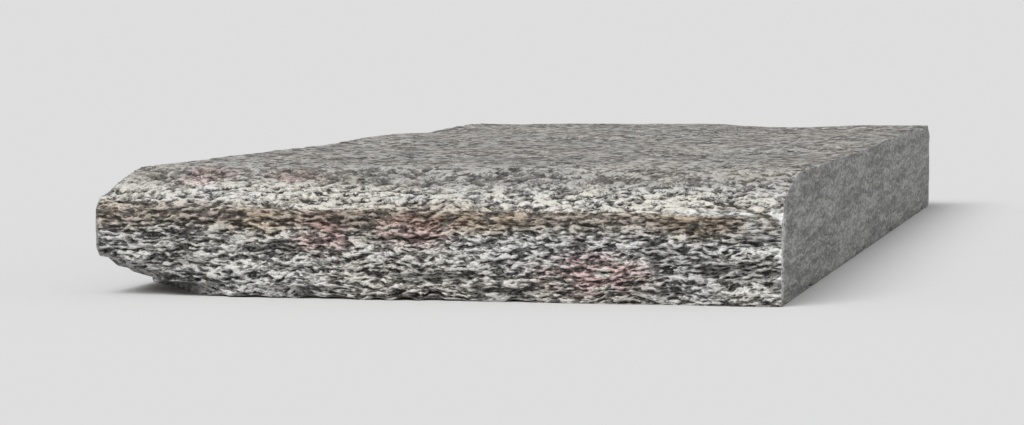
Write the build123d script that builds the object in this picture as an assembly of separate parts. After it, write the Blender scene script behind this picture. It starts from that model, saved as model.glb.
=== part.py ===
from build123d import *
from math import pi, sin
import os

# A granite kerb stone: one slab of layered, gneiss-like granite. Its two long sides are sawn flat,
# its beds follow the natural layering, and both ends are split, so they show the layers as ledges.
# X runs across the stone, Y along it with the front end at low Y, and Z up from the lower bed.
# All sizes are in millimetres.

# Main sizes
width = 300.0            # between the sawn sides
length = 800.0           # between the outermost points of the split ends
thickness = 54.0         # from the lower bed to the highest point of the upper bed

# Front end, whose upper edge has broken away along a slope
nose_height = 39.0       # height of the split face below the slope
slope_run = 70.0         # length of the slope along the stone
slope_power = 0.6        # below 1 the slope is steepest at the nose
slope_cuts = 5           # flat facets that make up the slope
slope_bunching = 1.5     # above 1 the facets are shorter towards the nose
slope_relief = 1.6       # unevenness of the slope
slope_wave = 130.0       # distance across the stone from one hump of the slope to the next
slope_sway = 0.18        # share by which the length of the slope changes across the stone

# Back end
back_drop = 7.0          # how far the upper edge of the back end is rounded down
back_run = 16.0          # how far that rounding reaches along the stone

# Ledges of the split faces
layer = 5.5              # height of one layer of the rock
lip = 1.4                # height over which one ledge passes into the next
front_relief = 6.0       # depth of the ledges of the front end
back_relief = 9.0        # depth of the ledges of the back end
ledge_wave = 130.0       # distance across the stone over which a ledge swings in and out
own_share = 0.36         # share of a ledge's depth that it keeps all the way across
layer_turn = 1.9         # how differently two layers on top of each other swing
layer_sway = 0.2         # share of its height by which the edge of a layer rises and falls
foot_undercut = 1.5      # how far the lowest layer of each end lies behind the others
front_grain = 0.0        # where the unevenness of the front end starts
back_grain = 4.0         # where the unevenness of the back end starts

# Upper bed
bed_relief = 2.2         # depth of the hollows of the upper bed
bed_wave = 260.0         # distance from one hollow to the next
bed_pitch = 80.0         # distance between the points that carry the upper bed

# Sections across the stone
section_pitch = 15.0     # distance from one section to the next

# Broken corner, at the foot of the front end on the left
break_width = 50.0       # along the lower edge of the front face
break_height = 18.0      # up the sawn side
break_depth = 75.0       # along the lower edge of the sawn side
break_slant = 0.65       # 0 steps the break back layer by layer, 1 slants it evenly

# Chips knocked out of the edges beside the sawn sides
chip_radius = 20.0       # radius of the hollow that a chip leaves
chip_bite = 3.0          # how deep a chip reaches into the edge
chip_pitch = 170.0       # distance between chips along an edge
chip_shift = 30.0        # how far a chip lies from its evenly spaced place, at most
nose_chip_radius = 12.0  # radius of the chip at the right end of the nose
nose_chip_bite = 3.5     # how deep that chip reaches into the corner

# Room that a cut leaves around the stone
cut_margin = 20.0


def ripple(a, b):
    """Unevenness between -1 and 1 that never repeats, read at the place (a, b)."""
    return (sin(a + 1.3 * sin(b)) + sin(1.7 * a - 2.1 * b) + sin(0.6 * b + 2.9 * sin(0.5 * a))) / 3


def spaced(start, stop, pitch):
    """Evenly spaced values from start to stop, about one pitch apart."""
    steps = max(2, round((stop - start) / pitch))
    return [start + (stop - start) * i / steps for i in range(steps + 1)]


def ledges(x, height, relief, grain):
    """Points (depth, z) up a split face: one upright facet for each layer, joined by slanting lips."""
    count = max(3, round(height / layer))
    turn = 2 * pi * x / ledge_wave
    sways = [layer_sway * ripple(turn - grain, layer_turn * k) for k in range(1, count)]
    edges = [height * (k + sway) / count for k, sway in enumerate([0, *sways, 0])]
    points = []
    for k in range(count):
        swing = ripple(turn + grain, layer_turn * k + grain)
        own = ripple(layer_turn * k - grain, grain)
        depth = relief * (1 + (1 - own_share) * swing + own_share * own) / 2
        if k == 0:
            depth += foot_undercut
        low = edges[k] + lip / 2 if k else -cut_margin
        high = edges[k + 1] - (lip / 2 if k < count - 1 else 0)
        points += [(depth, low), (depth, high)]
    return points


def broken_back(x, z):
    """How far the missing corner sets the face back at the height z."""
    share = 1 - (x + width / 2) / break_width - max(z, 0) / break_height
    return break_depth * max(0, share)


def slope(x, nose_depth):
    """Points (depth, z) up the broken slope, from the nose to the full thickness."""
    run = slope_run * (1 + slope_sway * sin(2 * pi * x / width + 0.8))
    rise = thickness - nose_height
    points = []
    for j in range(1, slope_cuts + 1):
        share = (j / slope_cuts) ** slope_bunching
        bump = slope_relief * ripple(2 * pi * x / slope_wave, layer_turn * j) * (1 - share)
        points.append((nose_depth + run * share, nose_height + rise * share ** slope_power + bump))
    return points


def bed_z(x, y):
    """Height of the upper bed at a place: the full thickness, less a shallow hollow."""
    return thickness - bed_relief * max(0, ripple(2 * pi * x / bed_wave, 2 * pi * y / bed_wave))


def front_end(x):
    """Points (depth, z) up the front end, from under the lower bed to the end of the slope."""
    face = ledges(x, nose_height, front_relief, front_grain)
    broken = []
    for (depth, low), (depth, high) in zip(face[::2], face[1::2]):
        for z in (low, high):
            broken.append((depth + broken_back(x, low + break_slant * (z - low)), z))
    return broken + slope(x, face[-1][0])


def back_end(x):
    """Points (depth, z) up the back end, from under the lower bed to its rounded upper edge."""
    face = ledges(x, thickness - back_drop, back_relief, back_grain)
    return face + [(face[-1][0] + back_run, thickness)]


def section(x):
    """One section along the stone at the distance x from its middle, as points (y, z)."""
    front = [(-length / 2 + depth - front_proud, z) for depth, z in front_end(x)]
    back = [(length / 2 - depth + back_proud, z) for depth, z in back_end(x)]
    crown = [(y, bed_z(x, y)) for y in spaced(front[-1][0], back[-1][0], bed_pitch)]
    return front[:-1] + crown + back[-2::-1]


def slab():
    """The slab between its sawn sides, lofted through the sections and cut flat at the lower bed."""
    rows = [make_face(Plane.YZ.offset(x) * Polyline(*section(x), close=True)) for x in stations]
    room = Box(
        width + 2 * cut_margin,
        length + 2 * cut_margin,
        thickness + cut_margin,
        align=(Align.CENTER, Align.CENTER, Align.MIN),
    )
    return loft(rows, ruled=True) & room


def chip(x, y, z, radius, bite):
    """The hollow of one chip, at a place on an edge beside a sawn side."""
    outward = Vector(1 if x > 0 else -1, 0, 1 if z > thickness / 2 else -1).normalized()
    return Pos(*(Vector(x, y, z) + outward * (radius - bite))) * Sphere(radius)


def chips():
    """All chips: along the four long edges, and one at the right end of the nose."""
    hollows = []
    for x in (-width / 2, width / 2):
        for upper in (False, True):
            for i, place in enumerate(spaced(first_chip, last_chip, chip_pitch)):
                y = place + chip_shift * ripple(x + i, 2 * i + upper)
                bite = chip_bite * (3 + ripple(y, x)) / 4
                hollows.append(chip(x, y, bed_z(x, y) if upper else 0, chip_radius, bite))
    nose_y = -length / 2 + front_end(width / 2)[-slope_cuts - 1][0] - front_proud
    hollows.append(chip(width / 2, nose_y, nose_height, nose_chip_radius, nose_chip_bite))
    return hollows


stations = spaced(-width / 2, width / 2, section_pitch)
first_chip = -length / 2 + slope_run * (1 + slope_sway) + chip_shift + chip_radius
last_chip = length / 2 - back_relief - back_run - chip_shift - chip_radius
front_proud = min(depth for x in stations for depth, z in front_end(x))
back_proud = min(depth for x in stations for depth, z in back_end(x))
stone = slab() - chips()

os.makedirs("parts", exist_ok=True)
export_step(stone, "parts/kerb_stone.step")
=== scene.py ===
"""A granite kerb stone: one slab of layered granite, with sawn long sides and split ends."""

import itertools
from typing import NamedTuple

import bmesh
import bpy
import numpy as np
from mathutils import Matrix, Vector


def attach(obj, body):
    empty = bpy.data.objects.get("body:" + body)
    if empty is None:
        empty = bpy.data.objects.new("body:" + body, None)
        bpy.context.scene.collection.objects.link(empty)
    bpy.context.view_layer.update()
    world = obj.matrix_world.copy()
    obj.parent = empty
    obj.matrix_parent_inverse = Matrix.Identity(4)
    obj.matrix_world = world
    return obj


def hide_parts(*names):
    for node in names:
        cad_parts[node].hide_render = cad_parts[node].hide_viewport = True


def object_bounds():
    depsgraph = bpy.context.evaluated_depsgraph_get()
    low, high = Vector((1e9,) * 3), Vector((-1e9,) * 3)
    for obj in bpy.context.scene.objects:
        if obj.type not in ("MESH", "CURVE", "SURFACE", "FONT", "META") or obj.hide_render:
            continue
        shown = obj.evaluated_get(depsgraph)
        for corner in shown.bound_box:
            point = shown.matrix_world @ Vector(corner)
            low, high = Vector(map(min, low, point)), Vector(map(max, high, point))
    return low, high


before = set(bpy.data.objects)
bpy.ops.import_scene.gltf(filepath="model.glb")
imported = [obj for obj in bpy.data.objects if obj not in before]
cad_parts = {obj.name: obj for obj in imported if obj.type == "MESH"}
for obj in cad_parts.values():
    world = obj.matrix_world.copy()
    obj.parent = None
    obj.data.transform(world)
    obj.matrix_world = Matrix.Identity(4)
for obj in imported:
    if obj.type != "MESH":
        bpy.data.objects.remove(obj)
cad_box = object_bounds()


class Pattern(NamedTuple):
    """One noise of the material."""

    size: tuple             # size of its grains across, along and up the stone, in millimetres
    seed: int               # keeps it from repeating another pattern
    detail: float = 2.0
    rough: float = 0.5
    low: float = 0.0        # below this value the pattern doesn't show
    high: float = 1.0       # above this value it shows fully


MM = 0.001
NODE = "kerb_stone"
BODY = "root"

# Mesh
VOXEL = 0.7 * MM            # fineness of the mesh that is carved
EDGE_SMOOTHING = 16         # rounds of smoothing that find the edges
SMOOTHING_STEP = 0.5        # share of its way that a point moves in one round
MOST_FACES = 190_000        # triangles left in the finished mesh
CAD_WELD = 0.01 * MM        # corners of the CAD mesh closer than this are one

# Stone. From here to the light, lengths are in millimetres, but where a factor MM makes them metres
LOW = np.array(cad_box[0]) / MM
HIGH = np.array(cad_box[1]) / MM
FRONT = LOW[1]
NOSE = 39.0                 # height of the upper edge of the split face of the front end
SLOPE_REACH = 84.0          # how far the broken slope of the front end runs along the stone
SLOPE_FADE = 40.0           # length over which the slope passes into the upper bed
END_FULL = 60.0             # up to this distance from an end, a face that turns to it is split
END_GONE = 110.0            # from this distance on, no face is split

# Kinds of skin. The turn is how far a face has to turn in a direction to be of a kind: below the
# first number it isn't, and above the second it is fully
# hollow is how deep the skin lies in the broken rock; the material paints shade in the hollows from it
SKIN = ("split", "slope", "bed", "sawn", "hollow", "worn", "under")
SPLIT_TURN = (0.25, 0.7)    # along the stone
SLOPE_TURN = (0.3, 0.8)     # up
BED_TURN = (0.5, 0.95)      # up, behind the slope
SAWN_TURN = (0.5, 0.8)      # across the stone
UNDER_TURN = (0.35, 0.6)    # down

# Waves of the relief, each with its height, the size of its cells across, along and up, and a seed
FRAY_WAVES = [(22, (30, 24, 200), 41), (9, (8, 7, 200), 42)]
SWAY_WAVES = [(1, (60, 60, 900), 0), (0.5, (14, 14, 900), 1)]
PEEL_WAVES = [(1.6, (34, 15, 30), 17), (0.5, (7, 4, 30), 18)]
FLAKE_WAVES = [(1.3, (70, 90, 200), 23), (0.35, (12, 12, 200), 24)]
GRIT_WAVES = [(1, (9, 11, 90), 25)]
NICK_WAVES = [(1, (17, 40, 40), 51), (0.6, (6, 12, 40), 52)]
ROUND_WAVES = [(0.75, (16, 16, 9), 31), (0.5, (5, 5, 4), 32)]

# Split ends. A layer of the rock has a height, a distance over which it keeps its depth, half of the
# greatest depth to which it is torn back, and a seed
LAYERS = [(6.0, 36, 0.9, 1), (3.1, 14, 0.8, 5), (1.8, 6, 0.4, 9)]
LAYER_SWAY = 0.45           # how far a layer rises and falls, as a share of its height
NOSE_CALM = 0.6             # share by which less is torn off at the upper edge of the front face
NOSE_CALM_HEIGHT = 6.0      # height over which that sets in
SPLIT_DIP = 1.8             # how far the dark grains lie below the pale ones

# Slope and upper bed, which have lost thin sheets of the rock
PEEL_USUAL = 1.6            # sheets that the slope has lost, on average
PEEL_MOST = 3
PEEL_DEPTH = 0.7            # thickness of one
SLOPE_DIP = 1.0             # how far the dark grains lie below the pale ones
FLAKE_USUAL = 1.1           # sheets that the upper bed has lost, on average
FLAKE_MOST = 2
FLAKE_DEPTH = 0.35          # thickness of one
GRIT_DEPTH = 0.16           # half the depth of its fine unevenness
BED_DIP = 0.5               # how far the dark grains lie below the pale ones where the slope ends
BED_DIP_REACH = 190.0       # distance from the front end at which that has faded out

# Foot of the ends and all other edges
NICK_RARITY = 0.1           # the larger, the rarer the nicks are
NICK_REACH = 13.0           # how far from the lower edge a nick reaches
NICK_IN = 2.6               # how far it bites into the face
NICK_UP = 3.0               # how far it lifts the lower edge
NICK_TOP = 9.0              # height at which it no longer lifts anything
ROUND_USUAL = 0.55          # share of what stands out at an edge that is worn off
ROUND_MOST = 1.6            # the same, at most
WORN_MOST = 3.0             # most that counts as standing out

# Hollows, whose depth sets painted shade: the depth that counts as a full one, and what the dips of the
# dark grains add to that shade
SPLIT_DEEP = 5.0
SLOPE_DEEP = 3.0
BED_DEEP = 1.0
SPLIT_DIP_SHADE = 0.35
SLOPE_DIP_SHADE = 0.3

# Texture map: the columns of its four sheets, and how the first is laid along the stone
TEXTURE_MAP = "OFBake"
SHEETS = [(0.005, 0.545), (0.555, 0.795), (0.805, 0.895), (0.905, 0.995)]
END_DEPTH = 16.0            # depth within which the ledges of a split end lie
END_SHARE = 0.15            # share of that depth that the map keeps, so that overhangs don't fold
FRONT_PART = (90.0, 0.32)   # how far the front end and its slope reach, and their share of the rows
BACK_PART = (16.0, 0.09)    # the same for the back end
MIDDLE_PART = (0.2, 0.8)    # shares of the length between which the front's layout becomes the back's
FOOT = 3.5                  # height to which the chipped edge of the underside rises

# In the constants of the material, four numbers in brackets are a passage: as a value goes from the
# first to the second, the result goes from the third to the fourth

# Figure of the rock
BEND = Pattern((70, 70, 60), 3)                 # rise and fall of the layers
BEND_HEIGHT = 10.0
CURL = Pattern((8, 15, 5), 5)                   # the same, finer
CURL_HEIGHT = 3.2
BROAD = Pattern((13, 24, 3.0), 11)              # lenses
STREAK = Pattern((4.4, 8.5, 1.15), 12, detail=1.5)
CLUSTER = Pattern((4.2, 7.5, 1.5), 16)
LENS_SHARES = (0.30, 0.70, 0.18)                # of the lenses, the streaks and the clusters
LENS_EDGES = (0.38, 0.60)                       # passage from dark to pale

# Grain of the rock, and how much each of its parts counts
FIBRE = Pattern((1.9, 3.6, 0.62), 13, rough=0.6, low=0.34, high=0.66)
CRYSTAL = Pattern((2.2, 4.0, 0.95), 17)
SPECK = Pattern((0.9, 0.9, 0.8), 15, detail=1.0, low=0.3, high=0.7)
TONE_SHARES = (0.42, 0.27, 0.23, 0.08)          # of the figure, the fibres, the crystals and the specks
DARK_TONES = (0.25, 0.40)                       # from dark to middle grey
PALE_TONES = (0.50, 0.70)                       # from middle grey to pale

# Colours of the rock, the last two each in a cool and a warm tint
DARK = (0.020, 0.020, 0.020, 1)
MIDDLE = ((0.246, 0.244, 0.235, 1), (0.275, 0.258, 0.232, 1))
PALE = ((0.74, 0.735, 0.715, 1), (0.76, 0.74, 0.69, 1))
WARMTH = Pattern((60, 60, 20), 14, low=0.40, high=0.60)     # where the warm tint shows

# Stains and fresh chips of the front end, each a centre and a reach
PINK = [
    ((-48, FRONT, 28), (18, 26, 11)),
    ((70, FRONT, 12), (32, 26, 13)),
    ((-8, FRONT, 30), (22, 26, 10)),
    ((-112, FRONT + 45, 50), (18, 24, 9)),
    ((-72, FRONT + 48, 51), (16, 20, 9)),
]
RUST = [
    ((-77, FRONT, 33), (20, 24, 9)),
    ((114, FRONT, 34), (24, 24, 9)),
    ((20, FRONT, 35), (30, 24, 8)),
]
FRESH = [
    ((146, FRONT, 36), (15, 24, 11)),
    ((121, FRONT, 39.5), (34, 12, 2.2)),
    ((151, FRONT, 19), (6, 16, 26)),
]
SPOT_EDGES = (0.35, 1.1)                        # from the middle of a spot to its edge, in reaches
SPOT_FRAY = Pattern((9, 9, 4), 41, rough=0.6, low=0.32, high=0.52)  # breaks the spots up
FRESH_TONES = (0.26, 0.50, 0.35, 1.0)           # the dark grains take less of a chip's white

# Layers over the rock, each a colour and its strength. A tint multiplies what is under it
PINK_TINT = ((1.10, 0.78, 0.82, 1), 0.75)
RUST_TINT = ((0.96, 0.80, 0.62, 1), 0.50)
BAND_TINT = ((1.0, 0.87, 0.75, 1), 0.75)
BAND_DIRT = ((0.215, 0.187, 0.155, 1), 0.30)
CREAM = ((0.72, 0.70, 0.62, 1), 0.95)
WORN_EDGE = ((0.60, 0.60, 0.56, 1), 0.65)
CHIP = ((0.84, 0.84, 0.81, 1), 1.0)

# Brown band under the nose
BAND_HEIGHTS = (NOSE - 13, NOSE - 3)            # where it sets in and where it is full
BAND_ENDS = (0, -100)                           # places along the stone where it ends and where it is full

# Dust on the beds and the slope
BLOTCH = Pattern((45, 70, 60), 20, detail=3.0, rough=0.6)
DUST = Pattern((8, 22, 9), 21, detail=3.0, rough=0.65)
DUST_SHARES = (0.5, 0.5)
DUST_EDGES = (0.42, 0.58)
DUST_COLOURS = ((0.046, 0.040, 0.034, 1), (0.232, 0.204, 0.175, 1))
BED_DUST = 0.42                                 # its strength on the beds
SLOPE_DUST = (16, 54, 0.0, 0.55)                # two distances behind the front end and its strength there

# Cream wash of the slope, with the distances behind the front end where it sets in and ends
WASH_START = (2, 9)
WASH_END = (16, 50, 1, 0)
WASH_LINES = Pattern((9, 11, 0.9), 22, rough=0.6, low=0.46, high=0.58)
WASH_PATCHES = Pattern((55, 40, 40), 25, low=0.38, high=0.58)
WASH_THIN = 0.35                                # what is left of it between its patches
WASH_TONES = (0.24, 0.42)                       # the dark grains take none

# Sawn sides
CUT_LINES = Pattern((60, 50, 2.4), 23, detail=3.0, rough=0.6)
CUT_CLOUDS = Pattern((30, 80, 26), 26)
CUT_SHARES = (0.7, 0.3)
CUT_EDGES = (0.38, 0.62)
CUT_COLOURS = ((0.130, 0.132, 0.131, 1), (0.345, 0.347, 0.340, 1))
CUT_TONES = (0.38, 0.58, 0.80, 1.18)            # how the grain darkens and lightens them
CUT_STRENGTH = 0.80
SCRATCH = Pattern((200, 5, 90), 27, rough=0.6)
SCRATCH_HEIGHT = 0.3                            # as a share of the grain's
CUT_FLATNESS = 0.85                             # share of the grain's relief that the saw took off

# Worn edges, and painted shade in the hollows
EDGE_WORN = (0.12, 0.45)                        # how far an edge stands out to be worn pale
EDGE_PATCHES = Pattern((5, 5, 3), 24, rough=0.6, low=0.38, high=0.58)
HOLLOW_SHADE = (0.35, 0.95, 1.0, 0.58)                 # painted shade: how the hollows darken

# Surface
DULLNESS = (0.25, 0.55, 0.60, 0.80)             # the dark grains shine a little more
DUST_DULLNESS = 0.12                            # how much duller the beds are
GRAIN_HEIGHT = 1.2 * MM                         # of the relief that is left to the material

# Light, as shares of what makes a colour render as it is written
SKY = 0.45                  # from all round
LAMP = 0.80                 # on a face turned to the lamp
LAMP_FROM = (-0.6, -1.5, 1.8)
LAMP_WIDTH = 0.8            # angle in radians over which the lamp spreads
FLOOR = 0.70                # paleness of the floor
FLOOR_REACH = 60.0          # in metres, far enough to reach the horizon

# Camera, in metres but for its lens
EYE = (0.310, -1.691, 0.114)
AIM = (0.036, -0.4, 0.0385)
LENS = 110                  # in millimetres
NEAREST = 0.05              # nothing closer is seen

# Noise
NOISE_MEAN = 0.5            # of a noise in a material
SEED_STEPS = (1.0, 1.7, 2.3)    # how far a seed moves a pattern along each axis
PRIMES = (73856093, 19349663, 83492791, 40503)  # these and the shift pick a value for a lattice point
HASH_SHIFT = 11
TABLE_SEED = 20
TABLE_SIZE = 1 << 14        # a power of two, so that a mask cuts a key down to it
TABLE = np.random.default_rng(TABLE_SEED).uniform(-1, 1, TABLE_SIZE).astype(np.float32)


def noise(points, cell, seed):
    """Smooth noise from -1 to 1 at each point, on a lattice of the given cell size."""
    place = points / np.asarray(cell, np.float32)
    base = np.floor(place)
    part = place - base
    part = part * part * (3 - 2 * part)
    base = base.astype(np.int64)
    total = np.zeros(len(points), np.float32)
    for corner in itertools.product((0, 1), repeat=3):
        x, y, z = (base + corner).T
        key = x * PRIMES[0] ^ y * PRIMES[1] ^ z * PRIMES[2] ^ (seed + 1) * PRIMES[3]
        weight = np.prod(np.where(corner, part, 1 - part), axis=1)
        total += weight * TABLE[(key ^ key >> HASH_SHIFT) & TABLE_SIZE - 1]
    return total


def waves(points, parts, level=0.0, seed=0):
    """The sum of several noises around a level. Each has a height, a cell size and a seed."""
    return sum((height * noise(points, cell, own + seed) for height, cell, own in parts), level)


def ledges(points, height, reach, seed):
    """Depth from -1 to 1 of rock layers of one height, each broken off along its own line."""
    sway = waves(points, SWAY_WAVES, seed=seed)
    layer = np.floor(points[:, 2] / height + LAYER_SWAY * sway)
    flat = np.column_stack((points[:, :2], layer))
    return noise(flat, (reach, reach, 1), seed + len(SWAY_WAVES))


def ramp(numbers, low, high):
    """0 below low, 1 above high and smooth between."""
    share = np.clip((numbers - low) / (high - low), 0, 1)
    return share * share * (3 - 2 * share)


def broken(points, normals, worn):
    """The points of the stone's skin moved inward to its broken surface, and what kind of skin each is.

    worn is how far the edges stand out.
    """
    up = normals[:, 2]
    from_front = points[:, 1] - FRONT
    from_back = HIGH[1] - points[:, 1]
    from_end = np.minimum(from_front, from_back)
    at_front = from_front < from_back
    inward = np.where(at_front, 1, -1)

    split = ramp(np.abs(normals[:, 1]), *SPLIT_TURN) * ramp(-from_end, -END_GONE, -END_FULL)
    frayed = -from_front + waves(points, FRAY_WAVES)
    slope = ramp(up, *SLOPE_TURN) * ramp(frayed, -SLOPE_REACH, -SLOPE_REACH + SLOPE_FADE)
    bed = ramp(up, *BED_TURN) * (1 - slope)
    sawn = ramp(np.abs(normals[:, 0]), *SAWN_TURN)
    under = ramp(-up, *UNDER_TURN)

    torn = sum(half * (1 + ledges(points, height, reach, seed)) for height, reach, half, seed in LAYERS)
    torn *= 1 - NOSE_CALM * ramp(points[:, 2], NOSE - NOSE_CALM_HEIGHT, NOSE) * at_front
    peeled = np.floor(waves(points, PEEL_WAVES, PEEL_USUAL))
    peeled = PEEL_DEPTH * np.clip(peeled, 0, PEEL_MOST)
    flaked = np.floor(waves(points, FLAKE_WAVES, FLAKE_USUAL))
    flaked = FLAKE_DEPTH * np.clip(flaked, 0, FLAKE_MOST)
    flaked += GRIT_DEPTH * (1 + waves(points, GRIT_WAVES))

    from_edge = np.hypot(from_end, points[:, 2])
    nick = np.clip(waves(points, NICK_WAVES) - NICK_RARITY, 0, 1)
    nick *= 1 - ramp(from_edge, 0, NICK_REACH)
    lifted = NICK_UP * nick * ramp(-points[:, 2], -NICK_TOP, 0)
    rounding = np.clip(waves(points, ROUND_WAVES, ROUND_USUAL), 0, ROUND_MOST)

    moved = points - normals * (np.clip(worn, 0, WORN_MOST) * rounding)[:, None]
    moved[:, 1] += inward * (split * torn + NICK_IN * nick)
    moved[:, 2] += lifted - slope * peeled - bed * flaked
    # hollow is how deep each point lies, from which the material paints shade in the hollows
    hollow = split * torn / SPLIT_DEEP + slope * peeled / SLOPE_DEEP + bed * flaked / BED_DEEP
    return np.clip(moved, LOW, HIGH), (split, slope, bed, sawn, hollow, worn, under)


def settled(piece):
    """The piece's mesh with its modifiers applied. They are taken off the piece."""
    graph = bpy.context.evaluated_depsgraph_get()
    mesh = bpy.data.meshes.new_from_object(piece.evaluated_get(graph))
    piece.modifiers.clear()
    return mesh


def fine_copy(source):
    """A closed, evenly fine mesh of a CAD node."""
    mesh = source.data.copy()
    welded = bmesh.new()
    welded.from_mesh(mesh)
    bmesh.ops.remove_doubles(welded, verts=welded.verts, dist=CAD_WELD)
    welded.to_mesh(mesh)
    welded.free()
    piece = bpy.data.objects.new("stone", mesh)
    bpy.context.scene.collection.objects.link(piece)
    remesh = piece.modifiers.new("fine", "REMESH")
    remesh.mode = "VOXEL"
    remesh.voxel_size = VOXEL
    piece.data = settled(piece)
    return piece


def values(items, name, width=3):
    """One value or vector of every item of a mesh, as an array."""
    read = np.empty(len(items) * width, np.float32)
    items.foreach_get(name, read)
    return read.reshape(-1, width) if width > 1 else read


def smoothed(piece):
    """The points and normals of the piece's mesh after its edges are rounded off."""
    smooth = piece.modifiers.new("smooth", "SMOOTH")
    smooth.factor = SMOOTHING_STEP
    smooth.iterations = EDGE_SMOOTHING
    mesh = settled(piece)
    return values(mesh.vertices, "co") / MM, values(mesh.vertex_normals, "vector")


def grained(piece):
    """How pale the figure of the rock is at each point of the piece's mesh, from 0 to 1."""
    group = bpy.data.node_groups.new("figure", "GeometryNodeTree")
    group.interface.new_socket("Geometry", in_out="INPUT", socket_type="NodeSocketGeometry")
    group.interface.new_socket("Geometry", in_out="OUTPUT", socket_type="NodeSocketGeometry")
    tree = Tree(group)
    place = tree.vector("SCALE", tree.add("GeometryNodeInputPosition").outputs[0], scale=1 / MM)
    store = tree.add("GeometryNodeStoreNamedAttribute")
    store.inputs["Name"].default_value = "lens"
    tree.put(store.inputs["Value"], lenses(tree, place))
    tree.put(store.inputs["Geometry"], tree.add("NodeGroupInput").outputs[0])
    tree.put(tree.add("NodeGroupOutput").inputs[0], store.outputs[0])
    piece.modifiers.new("figure", "NODES").node_group = group
    return values(settled(piece).attributes["lens"].data, "value", 1)


def move(piece, points):
    """Moves the points of the piece's mesh to new places."""
    piece.data.vertices.foreach_set("co", (points * MM).astype(np.float32).ravel())
    piece.data.update()


def carve(piece):
    """Gives the piece its rough surface, and thins the mesh where that is flat."""
    mesh = piece.data
    points = values(mesh.vertices, "co") / MM
    rounded, normals = smoothed(piece)
    worn = np.einsum("ij,ij->i", points - rounded, normals)
    points, skin = broken(points, normals, worn)
    move(piece, points)

    dip = 1 - grained(piece)
    split, slope, bed, sawn, hollow, worn, under = skin
    sunk = points.copy()
    sunk[:, 1] -= np.sign(points[:, 1]) * split * SPLIT_DIP * dip
    fading = ramp(FRONT + BED_DIP_REACH - points[:, 1], 0, BED_DIP_REACH - SLOPE_REACH)
    sunk[:, 2] -= (slope * SLOPE_DIP + bed * fading * BED_DIP) * dip
    move(piece, np.clip(sunk, LOW, HIGH))
    # the sunk dark grains add painted shade to the hollows
    hollow += split * SPLIT_DIP_SHADE * dip + slope * SLOPE_DIP_SHADE * dip

    for name, shares in zip(SKIN, skin):
        layer = mesh.attributes.new(name, "FLOAT", "POINT")
        layer.data.foreach_set("value", shares.astype(np.float32))
    rock = mesh.attributes.new("rock", "FLOAT_VECTOR", "POINT")
    rock.data.foreach_set("vector", points.astype(np.float32).ravel())
    thin = piece.modifiers.new("thin", "DECIMATE")
    triangles = 2 * len(mesh.polygons)  # the fine mesh is made of squares
    thin.ratio = MOST_FACES / triangles
    thin.use_collapse_triangulate = True
    piece.data = settled(piece)
    move(piece, np.clip(values(piece.data.vertices, "co") / MM, LOW, HIGH))


def unwrap(piece):
    """Lays the skin out flat for textures, in four sheets side by side.

    The first runs over the front end, the upper bed and the back end without a seam. The others are
    the underside and the two sawn sides. The ends of the stone get more room than its middle.
    """
    mesh = piece.data
    corners = np.empty(len(mesh.loops), np.int32)
    mesh.loops.foreach_get("vertex_index", corners)
    faces = corners.reshape(-1, 3)
    x, y, z = (values(mesh.vertices, "co") / MM - LOW).T
    width, length, height = HIGH - LOW

    spared = END_DEPTH * (1 - END_SHARE)
    ends = (0, END_DEPTH, length - END_DEPTH, length)
    along = np.interp(y, ends, (spared, END_DEPTH, length - END_DEPTH, length - spared))
    over = along + (height - z) * np.interp(y, [share * length for share in MIDDLE_PART], (-1, 1))
    parts = (spared - height, FRONT_PART[0], length - BACK_PART[0], length - spared + height)
    first = np.interp(over, parts, (0, FRONT_PART[1], 1 - BACK_PART[1], 1))
    others = y / length
    sheets = [(x / width, first), (x / width, others), (z / height, others), (z / height, others)]

    sawn = values(mesh.attributes["sawn"].data, "value", 1)[faces].mean(1) > 0.5
    under = values(mesh.attributes["under"].data, "value", 1)[faces].mean(1) > 0.5
    left = x[faces].mean(1) < width / 2
    deep = np.minimum(y, length - y)[faces].mean(1) > END_DEPTH
    lowest = z[faces].mean(1) < FOOT
    which = np.select([sawn & left, sawn, under & (deep | lowest)], [2, 3, 1], 0)

    places = np.empty((len(faces), 3, 2), np.float32)
    for number, ((u, v), (start, stop)) in enumerate(zip(sheets, SHEETS)):
        mine = which == number
        places[mine] = np.stack([start + (stop - start) * u, v], axis=1)[faces[mine]]
    layer = mesh.uv_layers.new(name=TEXTURE_MAP)
    layer.uv.foreach_set("vector", places.ravel())


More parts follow.
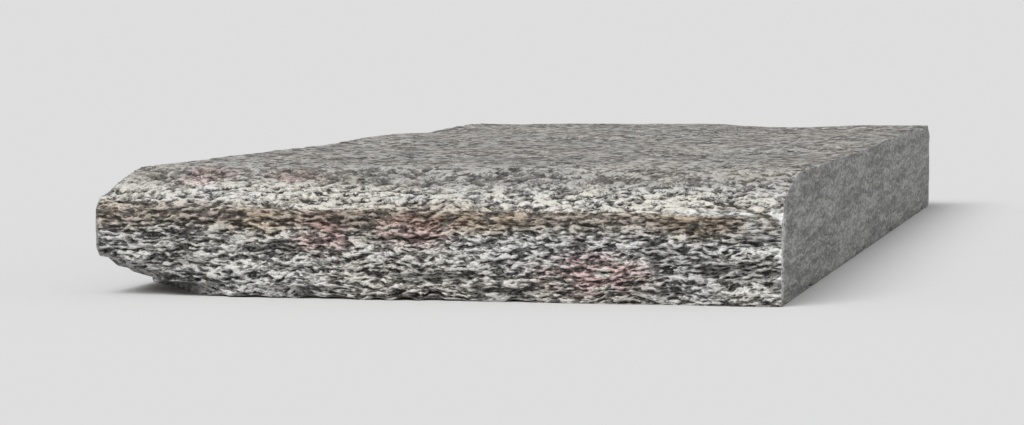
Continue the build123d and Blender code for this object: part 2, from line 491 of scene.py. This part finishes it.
class Tree:
    """The nodes of one material or mesh modifier, built from short calls. Lengths are in millimetres."""

    def __init__(self, tree):
        self.nodes = tree.nodes
        self.links = tree.links

    def add(self, kind):
        """A new node."""
        return self.nodes.new(kind)

    def put(self, socket, value):
        """Gives a socket a constant or a link."""
        if isinstance(value, bpy.types.NodeSocket):
            self.links.new(value, socket)
        else:
            socket.default_value = value

    def math(self, operation, a, b=0.0, c=0.0):
        """The result of one operation on numbers."""
        node = self.add("ShaderNodeMath")
        node.operation = operation
        for socket, value in zip(node.inputs, (a, b, c)):
            self.put(socket, value)
        return node.outputs[0]

    def product(self, value, *factors):
        """The value times all the factors."""
        for factor in factors:
            value = self.math("MULTIPLY", value, factor)
        return value

    def total(self, parts, shares):
        """The sum of the parts, each counted by its share."""
        result = 0.0
        for part, share in zip(parts, shares):
            result = self.math("MULTIPLY_ADD", part, share, result)
        return result

    def vector(self, operation, a, b=(0, 0, 0), scale=1.0):
        """The result of one operation on vectors."""
        node = self.add("ShaderNodeVectorMath")
        node.operation = operation
        self.put(node.inputs[0], a)
        if operation == "SCALE":
            self.put(node.inputs["Scale"], scale)
        else:
            self.put(node.inputs[1], b)
        return node.outputs["Value" if operation == "LENGTH" else "Vector"]

    def skin(self, name, output="Fac"):
        """What carve() wrote on the mesh under that name."""
        node = self.add("ShaderNodeAttribute")
        node.attribute_name = name
        return node.outputs[output]

    def part(self, place, axis):
        """One of the three numbers of a place."""
        node = self.add("ShaderNodeSeparateXYZ")
        self.put(node.inputs[0], place)
        return node.outputs[axis]

    def textured(self, kind, place, pattern):
        """A texture node that reads a place by the size and the seed of a pattern."""
        node = self.add(kind)
        steps = self.vector("DIVIDE", place, pattern.size)
        moved = self.vector("ADD", steps, [pattern.seed * step for step in SEED_STEPS])
        self.put(node.inputs["Vector"], moved)
        node.inputs["Scale"].default_value = 1.0
        return node

    def noise(self, place, pattern):
        """The pattern as plain noise, mostly between 0 and 1."""
        node = self.textured("ShaderNodeTexNoise", place, pattern)
        node.inputs["Detail"].default_value = pattern.detail
        node.inputs["Roughness"].default_value = pattern.rough
        return node.outputs["Fac"]

    def patches(self, place, pattern, out_low=0.0, out_high=1.0):
        """The pattern as patches, from out_low between them to out_high in them."""
        return self.ramp(self.noise(place, pattern), pattern.low, pattern.high, out_low, out_high)

    def crystals(self, place, pattern):
        """A number from 0 to 1 for each of the irregular cells of the pattern's size."""
        node = self.textured("ShaderNodeTexVoronoi", place, pattern)
        return self.part(node.outputs["Color"], 0)

    def ramp(self, value, low, high, out_low=0.0, out_high=1.0):
        """Smooth passage from out_low to out_high as value goes from low to high."""
        node = self.add("ShaderNodeMapRange")
        node.interpolation_type = "SMOOTHSTEP"
        for socket, number in zip(node.inputs, (value, low, high, out_low, out_high)):
            self.put(socket, number)
        return node.outputs[0]

    def grey(self, value):
        """The colour whose three parts are the value."""
        node = self.add("ShaderNodeCombineXYZ")
        for socket in node.inputs:
            self.put(socket, value)
        return node.outputs[0]

    def mix(self, share, a, b, blend="MIX"):
        """Colour a with the share of colour b mixed in."""
        node = self.add("ShaderNodeMix")
        node.data_type = "RGBA"
        node.blend_type = blend
        first, second = [socket for socket in node.inputs if socket.type == "RGBA"]
        self.put(node.inputs[0], share)
        self.put(first, a)
        self.put(second, b)
        return next(socket for socket in node.outputs if socket.type == "RGBA")

    def cover(self, colour, share, layer, strength, blend="MIX"):
        """The colour with a layer of some strength over it, where share is above 0."""
        return self.mix(self.math("MULTIPLY", share, strength), colour, layer, blend)


def drift(tree, place):
    """The place with the layers of the rock laid flat: they rise, fall and curl along the stone."""
    bend = tree.math("SUBTRACT", tree.noise(place, BEND), NOISE_MEAN)
    curl = tree.math("SUBTRACT", tree.noise(place, CURL), NOISE_MEAN)
    shift = tree.add("ShaderNodeCombineXYZ")
    tree.put(shift.inputs["Z"], tree.total((bend, curl), (BEND_HEIGHT, CURL_HEIGHT)))
    return tree.vector("ADD", place, shift.outputs[0])


def lenses(tree, place):
    """The rock's figure from 0 in the dark mica to 1 in the pale lenses between."""
    rock = drift(tree, place)
    cluster = tree.math("SUBTRACT", tree.crystals(rock, CLUSTER), NOISE_MEAN)
    parts = (tree.noise(rock, BROAD), tree.noise(rock, STREAK), cluster)
    return tree.ramp(tree.total(parts, LENS_SHARES), *LENS_EDGES)


def grain(tree, raw, rock):
    """How pale the rock is, from 0 to 1, with everything from its figure down to its specks."""
    figure = lenses(tree, raw)
    parts = (figure, tree.patches(rock, FIBRE), tree.crystals(rock, CRYSTAL), tree.patches(raw, SPECK))
    return tree.total(parts, TONE_SHARES)


def spots(tree, place, places):
    """1 in the middle of each soft spot, given as (centre, reach), and 0 away from them."""
    total = 0.0
    for centre, reach in places:
        away = tree.vector("DIVIDE", tree.vector("SUBTRACT", place, centre), reach)
        spot = tree.ramp(tree.vector("LENGTH", away), *SPOT_EDGES, 1.0, 0.0)
        total = tree.math("MAXIMUM", total, spot)
    return tree.math("MULTIPLY", total, tree.patches(place, SPOT_FRAY))


def clean(tree, raw, tone):
    """The colour of the clean rock."""
    warm = tree.patches(raw, WARMTH)
    colour = tree.mix(tree.ramp(tone, *PALE_TONES), tree.mix(warm, *MIDDLE), tree.mix(warm, *PALE))
    return tree.mix(tree.ramp(tone, *DARK_TONES, 1, 0), colour, DARK)


def stained(tree, colour, raw, split):
    """The colour with the brown band under the nose and the rust and pink patches."""
    along = tree.ramp(tree.part(raw, 1), *BAND_ENDS)
    band = tree.product(tree.ramp(tree.part(raw, 2), *BAND_HEIGHTS), split, along)
    colour = tree.cover(colour, band, *BAND_TINT, "MULTIPLY")
    colour = tree.cover(colour, band, *BAND_DIRT)
    colour = tree.cover(colour, spots(tree, raw, RUST), *RUST_TINT, "MULTIPLY")
    return tree.cover(colour, spots(tree, raw, PINK), *PINK_TINT, "MULTIPLY")


def dusted(tree, colour, raw, behind, lying, slope):
    """The colour with the dust of the beds and the slope. behind is the distance from the front end."""
    dust = tree.total((tree.noise(raw, BLOTCH), tree.noise(raw, DUST)), DUST_SHARES)
    trodden = tree.mix(tree.ramp(dust, *DUST_EDGES), *DUST_COLOURS)
    colour = tree.cover(colour, lying, trodden, BED_DUST)
    return tree.cover(colour, slope, trodden, tree.ramp(behind, *SLOPE_DUST))


def washed(tree, colour, raw, rock, tone, behind, slope):
    """The colour with the cream wash of the slope. behind is the distance from the front end."""
    wash = tree.product(tree.ramp(behind, *WASH_START), tree.ramp(behind, *WASH_END), slope)
    patches = tree.patches(raw, WASH_PATCHES, WASH_THIN)
    cream = tree.product(tree.patches(rock, WASH_LINES), wash, patches, tree.ramp(tone, *WASH_TONES))
    return tree.cover(colour, cream, *CREAM)


def cut(tree, colour, raw, rock, tone, sawn):
    """The colour with the grey of the sawn sides, in which the layers show as lines."""
    layers = tree.total((tree.noise(rock, CUT_LINES), tree.noise(raw, CUT_CLOUDS)), CUT_SHARES)
    grey = tree.mix(tree.ramp(layers, *CUT_EDGES), *CUT_COLOURS)
    grey = tree.mix(1.0, grey, tree.grey(tree.ramp(tone, *CUT_TONES)), "MULTIPLY")
    return tree.cover(colour, sawn, grey, CUT_STRENGTH)


def worn_and_shaded(tree, colour, raw, tone, worn, hollow):
    """The colour with its pale worn edges, the white fresh chips and painted shade in the hollows."""
    edge = tree.product(tree.ramp(worn, *EDGE_WORN), tree.patches(raw, EDGE_PATCHES))
    colour = tree.cover(colour, edge, *WORN_EDGE)
    fresh = tree.product(spots(tree, raw, FRESH), tree.ramp(tone, *FRESH_TONES))
    colour = tree.cover(colour, fresh, *CHIP)
    # painted shade: the colour is darkened where the hollows are deep
    return tree.mix(1.0, colour, tree.grey(tree.ramp(hollow, *HOLLOW_SHADE)), "MULTIPLY")


def granite():
    """Layered granite: pale lenses and dark mica, drawn out along the beds."""
    material = bpy.data.materials.new("granite")
    material.use_nodes = True
    tree = Tree(material.node_tree)
    shader = tree.nodes["Principled BSDF"]
    split, slope, bed, sawn, hollow, worn, under = [tree.skin(name) for name in SKIN]
    raw = tree.skin("rock", "Vector")
    rock = drift(tree, raw)
    tone = grain(tree, raw, rock)
    lying = tree.math("MAXIMUM", bed, under)
    behind = tree.math("SUBTRACT", tree.part(raw, 1), FRONT)

    colour = stained(tree, clean(tree, raw, tone), raw, split)
    colour = dusted(tree, colour, raw, behind, lying, slope)
    colour = washed(tree, colour, raw, rock, tone, behind, slope)
    colour = cut(tree, colour, raw, rock, tone, sawn)
    colour = worn_and_shaded(tree, colour, raw, tone, worn, hollow)
    tree.put(shader.inputs["Base Color"], colour)
    dull = tree.math("MULTIPLY_ADD", lying, DUST_DULLNESS, tree.ramp(tone, *DULLNESS))
    tree.put(shader.inputs["Roughness"], dull)

    scratches = tree.product(tree.noise(raw, SCRATCH), sawn, SCRATCH_HEIGHT)
    bump = tree.add("ShaderNodeBump")
    tree.put(bump.inputs["Height"], tree.math("ADD", tone, scratches))
    tree.put(bump.inputs["Strength"], tree.math("SUBTRACT", 1.0, tree.product(sawn, CUT_FLATNESS)))
    bump.inputs["Distance"].default_value = GRAIN_HEIGHT
    tree.put(shader.inputs["Normal"], bump.outputs[0])
    return material


def floor():
    """A pale floor that reaches to the horizon, where it meets a sky of its own colour."""
    mesh = bpy.data.meshes.new("floor")
    corners = [(x, y, 0) for x, y in ((-1, -1), (1, -1), (1, 1), (-1, 1))]
    mesh.from_pydata([Vector(corner) * FLOOR_REACH for corner in corners], [], [(0, 1, 2, 3)])
    plain = bpy.data.objects.new("floor", mesh)
    bpy.context.scene.collection.objects.link(plain)
    paper = bpy.data.materials.new("paper")
    paper.use_nodes = True
    shader = paper.node_tree.nodes["Principled BSDF"]
    shader.inputs["Base Color"].default_value = (FLOOR, FLOOR, FLOOR, 1)
    shader.inputs["Roughness"].default_value = 1.0
    shader.inputs["Specular IOR Level"].default_value = 0.0
    mesh.materials.append(paper)


def light():
    """One soft lamp, high and a little to the left of the camera, and an even sky."""
    data = bpy.data.lights.new("lamp", "SUN")
    data.energy = LAMP * np.pi
    data.angle = LAMP_WIDTH
    lamp = bpy.data.objects.new("lamp", data)
    lamp.rotation_euler = Vector(LAMP_FROM).to_track_quat("Z", "Y").to_euler()
    bpy.context.scene.collection.objects.link(lamp)

    world = bpy.data.worlds.new("sky")
    world.use_nodes = True
    bpy.context.scene.world = world
    tree = Tree(world.node_tree)
    seen = tree.add("ShaderNodeBackground")
    shown = FLOOR * (SKY + LAMP * Vector(LAMP_FROM).normalized().z)
    seen.inputs["Color"].default_value = (shown, shown, shown, 1)
    felt = tree.nodes["Background"]
    felt.inputs["Color"].default_value = (1, 1, 1, 1)
    felt.inputs["Strength"].default_value = SKY
    either = tree.add("ShaderNodeMixShader")
    tree.put(either.inputs[0], tree.add("ShaderNodeLightPath").outputs["Is Camera Ray"])
    tree.put(either.inputs[1], felt.outputs[0])
    tree.put(either.inputs[2], seen.outputs[0])
    tree.put(tree.nodes["World Output"].inputs["Surface"], either.outputs[0])


def camera():
    """The photograph's eye: low in front of the stone and a little to its right."""
    data = bpy.data.cameras.new("camera")
    data.lens = LENS
    data.clip_start = NEAREST
    eye = bpy.data.objects.new("camera", data)
    eye.location = EYE
    eye.rotation_euler = (Vector(AIM) - Vector(EYE)).to_track_quat("-Z", "Y").to_euler()
    bpy.context.scene.collection.objects.link(eye)
    bpy.context.scene.camera = eye


stone = fine_copy(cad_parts[NODE])
carve(stone)
unwrap(stone)
for face in stone.data.polygons:
    face.use_smooth = True
stone.data.materials.clear()
stone.data.materials.append(granite())
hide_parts(NODE)
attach(stone, BODY)

floor()
light()
camera()
bpy.context.scene.view_settings.view_transform = "Standard"
